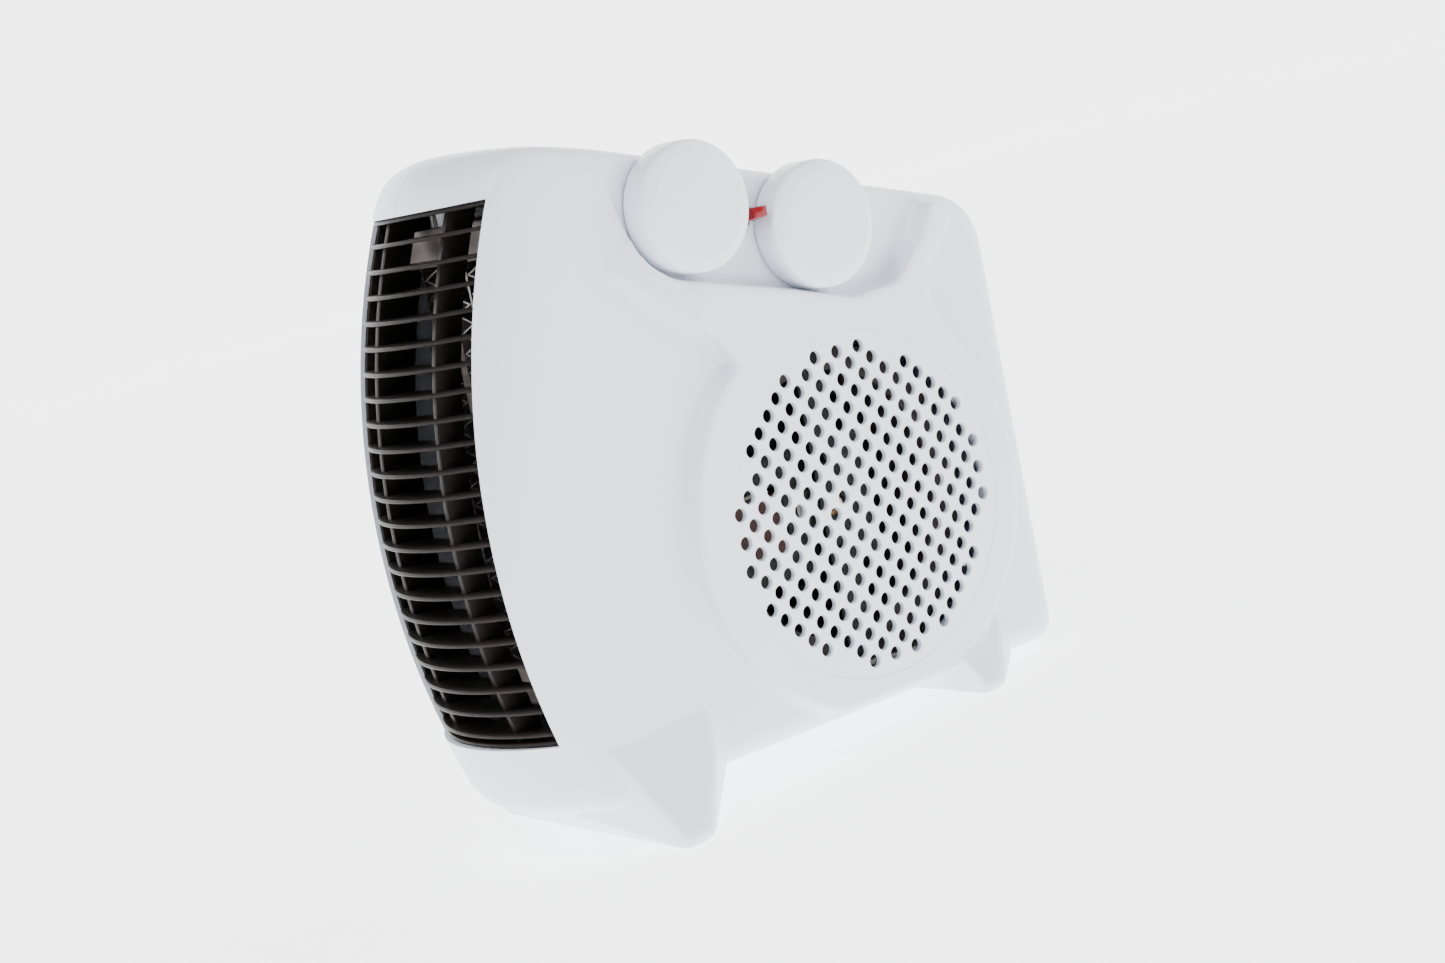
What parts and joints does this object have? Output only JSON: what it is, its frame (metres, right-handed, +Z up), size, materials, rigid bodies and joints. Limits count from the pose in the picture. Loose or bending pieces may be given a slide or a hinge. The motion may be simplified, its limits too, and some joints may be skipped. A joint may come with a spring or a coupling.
{
  "type": "space heater",
  "caption": "Upright fan heater: two-part casing on bar feet, round perforated intake, curved slatted outlet, ceramic heating element, centrifugal fan, two rotary controls and a pilot lens.",
  "frame": {"origin": "centre of the whole object's footprint, on the surface its feet stand on", "axes": "+Z up, -Y out of the outlet grille (front), +X towards the side with the air intake and the controls"},
  "size_m": [0.122, 0.2562, 0.2466],
  "materials": {
    "aluminium": "satin",
    "bearing_bronze": "satin",
    "bimetal": "satin",
    "black_plastic": "matt",
    "bobbin_plastic": "matt",
    "casing": "satin",
    "coil_tape": "satin",
    "duct_plastic": "matt",
    "gland": "matt",
    "grille": "gloss",
    "heat_ceramic": "matt",
    "heat_resin": "matt",
    "knob": "satin",
    "lamp": "clear",
    "lead_black": "satin",
    "lead_white": "satin",
    "lens": "clear red",
    "steel": "brushed",
    "switch_plastic": "matt",
    "terminal": "matt",
    "zinc_steel": "satin"
  },
  "bodies": {
    "casing": {"bimetal_strip": "bimetal", "casing_screw_1": "zinc_steel", "casing_screw_2": "zinc_steel", "casing_screw_3": "zinc_steel", "casing_screw_4": "zinc_steel", "casing_screw_5": "zinc_steel", "coil_bobbin": "bobbin_plastic", "cord_gland": "gland", "electrode_strip_1": "aluminium", "electrode_strip_2": "aluminium", "electrode_strip_3": "aluminium", "element_lead_1": "lead_black", "element_lead_2": "lead_black", "fan_scroll": "duct_plastic", "fin_pack_1": "aluminium", "fin_pack_2": "aluminium", "fin_pack_3": "aluminium", "fin_pack_4": "aluminium", "front_bearing": "bearing_bronze", "front_bearing_bracket": "zinc_steel", "inlet_plate": "duct_plastic", "intake_grille": "casing", "left_shell": "casing", "link_lead": "lead_black", "live_lead": "lead_black", "motor_coil": "coil_tape", "motor_lead": "lead_black", "motor_mount": "zinc_steel", "motor_screw_1": "zinc_steel", "motor_screw_2": "zinc_steel", "neon_lamp": "lamp", "neutral_lead": "lead_white", "outlet_grille": "grille", "pilot_lens": "lens", "ptc_bar_1": "heat_ceramic", "ptc_bar_2": "heat_ceramic", "ptc_holder_bottom": "heat_resin", "ptc_holder_top": "heat_resin", "rear_bearing": "bearing_bronze", "rear_bearing_bracket": "zinc_steel", "right_shell": "casing", "rotary_switch": "switch_plastic", "stator_stack": "zinc_steel", "terminal_block": "terminal", "thermal_cutout": "steel", "thermal_fuse": "steel", "thermostat": "switch_plastic"},
    "fan": {"impeller": "black_plastic", "motor_shaft": "steel", "impeller_clip": "zinc_steel", "rotor": "aluminium"},
    "power_control": {"power_knob": "knob", "switch_spindle": "black_plastic"},
    "thermostat_control": {"thermostat_knob": "knob", "thermostat_spindle": "steel"}
  },
  "joints": [
    {"name": "fan_spin", "type": "hinge", "parent": "casing", "child": "fan", "pos_m": [0, 0.03099, 0.08573], "axis": [1, 0, 0], "continuous": true},
    {"name": "power_turn", "type": "hinge", "parent": "casing", "child": "power_control", "pos_m": [0.05, -0.01108, 0.20819], "axis": [1, 0, 0], "range_deg": [-270, 0]},
    {"name": "thermostat_turn", "type": "hinge", "parent": "casing", "child": "thermostat_control", "pos_m": [0.05, 0.04215, 0.18839], "axis": [1, 0, 0], "range_deg": [-300, 0]}
  ]
}
